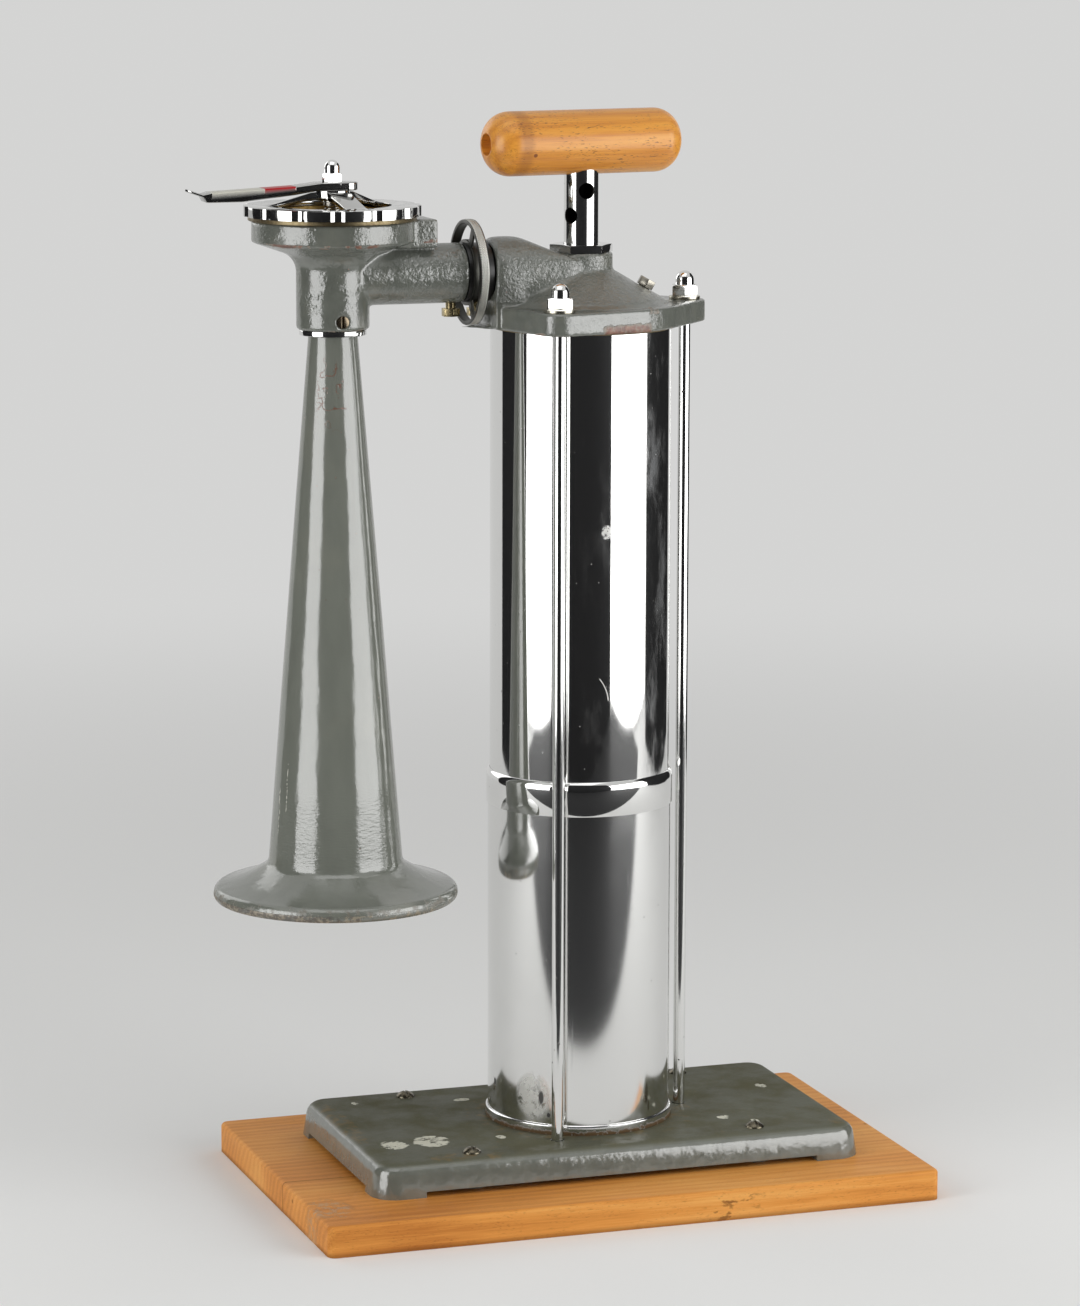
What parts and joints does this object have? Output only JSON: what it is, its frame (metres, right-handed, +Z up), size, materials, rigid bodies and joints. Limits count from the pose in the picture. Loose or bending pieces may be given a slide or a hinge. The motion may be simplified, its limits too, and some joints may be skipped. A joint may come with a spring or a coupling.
{
  "type": "ship's fog horn",
  "caption": "Hand-pumped ship's fog horn: upright pump tube on a board, T-handle, swivelling horn head with cover wheel and lever, long flared trumpet.",
  "frame": {"origin": "on the floor under the pump tube's axis, at the board's underside", "axes": "+Z up along the pump tube; X along the board, with the horn on the -X side; Y across the board"},
  "size_m": [0.4955, 0.281, 0.75],
  "materials": {
    "varnished_wood": "glossy varnish, worn edges",
    "handle_wood": "polished, short dark pores",
    "grey_enamel": "glossy grey enamel over rough casting",
    "grey_sheet": "glossy grey enamel over sheet, chipped",
    "screw_grey": "painted over, worn",
    "polished_steel": "polished plating with fine wear",
    "plain_steel": "turned steel",
    "rubber_black": "matt",
    "leather_brown": "greased",
    "brass_plain": "dull",
    "black_sleeve": "black, satin",
    "rim_beige": "worn and chipped",
    "lever_striped": "polished with a red and a white band",
    "cap_brass": "worn",
    "fibre_gasket": "fibre sheet"
  },
  "bodies": {
    "stand": {"wooden_board": "varnished_wood", "base_plate": "grey_enamel", "base_screws": "screw_grey", "tube_foot_gasket": "fibre_gasket", "lower_tube": "polished_steel", "tube_foot_ring": "polished_steel", "tube_joint_collar": "polished_steel", "tube_joint_seal": "rubber_black", "upper_tube": "polished_steel", "head_gasket": "fibre_gasket", "tie_rods": "polished_steel", "tie_rod_washers": "plain_steel", "tie_rod_nuts": "polished_steel", "pump_head": "grey_enamel", "guide_bush": "brass_plain", "gland_packing": "leather_brown", "gland_nut": "polished_steel", "oil_plug": "plain_steel", "bottom_buffer": "rubber_black", "swivel_sleeve": "black_sleeve", "swivel_seal": "rubber_black", "sleeve_bolt": "brass_plain"},
    "piston": {"piston_disc": "brass_plain", "cup_leather": "leather_brown", "leather_retainer": "brass_plain"},
    "pump_rod": {"piston_rod": "polished_steel", "piston_nut": "plain_steel", "handle_grip": "handle_wood", "handle_pin": "plain_steel"},
    "lock_wheel": {"lock_wheel": "polished_steel"},
    "horn": {"horn_head": "grey_enamel", "arm_bolt": "brass_plain", "neck_grub_screw": "plain_steel", "nozzle": "brass_plain", "diaphragm_gasket": "fibre_gasket", "diaphragm": "plain_steel", "diaphragm_ring": "brass_plain", "cap_ring": "cap_brass", "throat_ring": "polished_steel", "trumpet": "grey_sheet", "bell_rim": "rim_beige", "pressure_pad": "brass_plain", "pad_spring": "plain_steel"},
    "cover": {"cover_wheel": "polished_steel"},
    "lever": {"lever": "lever_striped", "lever_nut": "polished_steel", "adjusting_spindle": "plain_steel"}
  },
  "joints": [
    {"name": "pump_stroke", "type": "slide", "parent": "stand", "child": "piston", "axis": [0, 0, 1], "range_m": [0, 0.4925]},
    {"name": "handle_turn", "type": "hinge", "parent": "piston", "child": "pump_rod", "pos_m": [0, 0, 0.728], "axis": [0, 0, 1], "continuous": true},
    {"name": "horn_swivel", "type": "hinge", "parent": "stand", "child": "horn", "pos_m": [-0.107, 0, 0.641], "axis": [1, 0, 0], "range_deg": [-90, 90]},
    {"name": "lock_wheel_turn", "type": "hinge", "parent": "stand", "child": "lock_wheel", "pos_m": [-0.0808, 0, 0.641], "axis": [1, 0, 0], "continuous": true},
    {"name": "cover_turn", "type": "hinge", "parent": "horn", "child": "cover", "pos_m": [-0.1775, 0, 0.6855], "axis": [0, 0, 1], "range_deg": [0, 90]},
    {"name": "lever_turn", "type": "hinge", "parent": "cover", "child": "lever", "pos_m": [-0.1775, 0, 0.699], "axis": [0, 0, 1], "range_deg": [-60, 60]}
  ]
}
